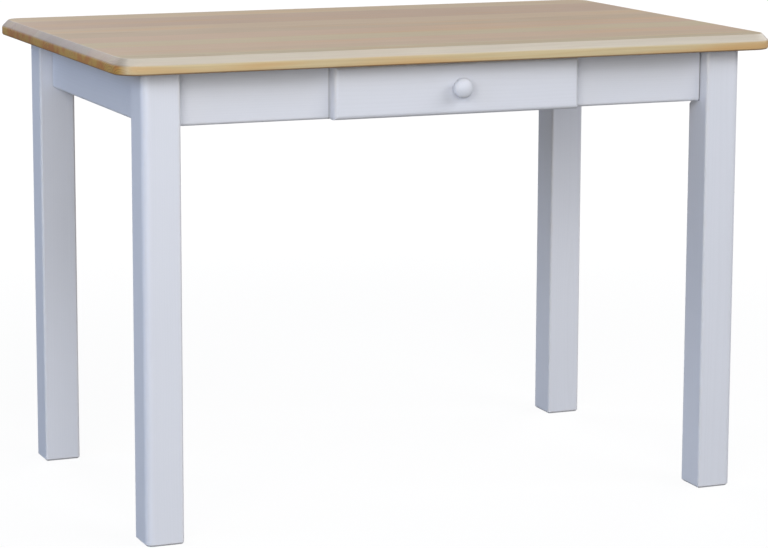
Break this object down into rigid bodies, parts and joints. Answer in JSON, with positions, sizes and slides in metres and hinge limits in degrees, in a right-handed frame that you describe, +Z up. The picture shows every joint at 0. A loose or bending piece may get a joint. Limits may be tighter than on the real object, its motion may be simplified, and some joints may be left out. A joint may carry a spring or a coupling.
{
  "type": "kitchen table",
  "caption": "Rectangular wooden kitchen table with a rounded solid top, square painted legs and aprons, and a drawer with a round knob in the front long side.",
  "frame": {"origin": "on the floor, under the middle of the table top", "axes": "+X along the long side, to the right of someone who faces the drawer; -Y the way the drawer opens, so +Y points from the drawer side to the back; +Z up"},
  "size_m": [1.1, 0.7, 0.75],
  "materials": {
    "lacquered_pine": "clear satin lacquer on glued pine staves",
    "white_paint": "cool white satin paint on pine",
    "raw_pine": "planed, unfinished",
    "thin_panel": "smooth thin plywood",
    "zinc_steel": "bright zinc plating",
    "brass": "turned"
  },
  "bodies": {
    "table": {"tabletop": "lacquered_pine", "top_buttons": "raw_pine", "leg_front_left": "white_paint", "leg_front_right": "white_paint", "leg_back_left": "white_paint", "leg_back_right": "white_paint", "front_apron": "white_paint", "back_apron": "white_paint", "left_apron": "white_paint", "right_apron": "white_paint", "corner_bracket_front_left": "zinc_steel", "corner_bracket_front_right": "zinc_steel", "corner_bracket_back_left": "zinc_steel", "corner_bracket_back_right": "zinc_steel", "hanger_bolts": "zinc_steel", "hanger_bolt_washers": "zinc_steel", "hanger_bolt_nuts": "zinc_steel", "drawer_guide_left": "raw_pine", "drawer_bearer_left": "raw_pine", "drawer_guide_right": "raw_pine", "drawer_bearer_right": "raw_pine", "drawer_stop": "raw_pine"},
    "drawer": {"drawer_front": "white_paint", "drawer_side_left": "raw_pine", "drawer_side_right": "raw_pine", "drawer_back": "raw_pine", "drawer_bottom": "thin_panel", "drawer_knob": "white_paint", "knob_insert": "brass", "knob_screw": "zinc_steel"}
  },
  "joints": [
    {"name": "drawer_slide", "type": "slide", "parent": "table", "child": "drawer", "axis": [0, -1, 0], "range_m": [0, 0.34]}
  ]
}
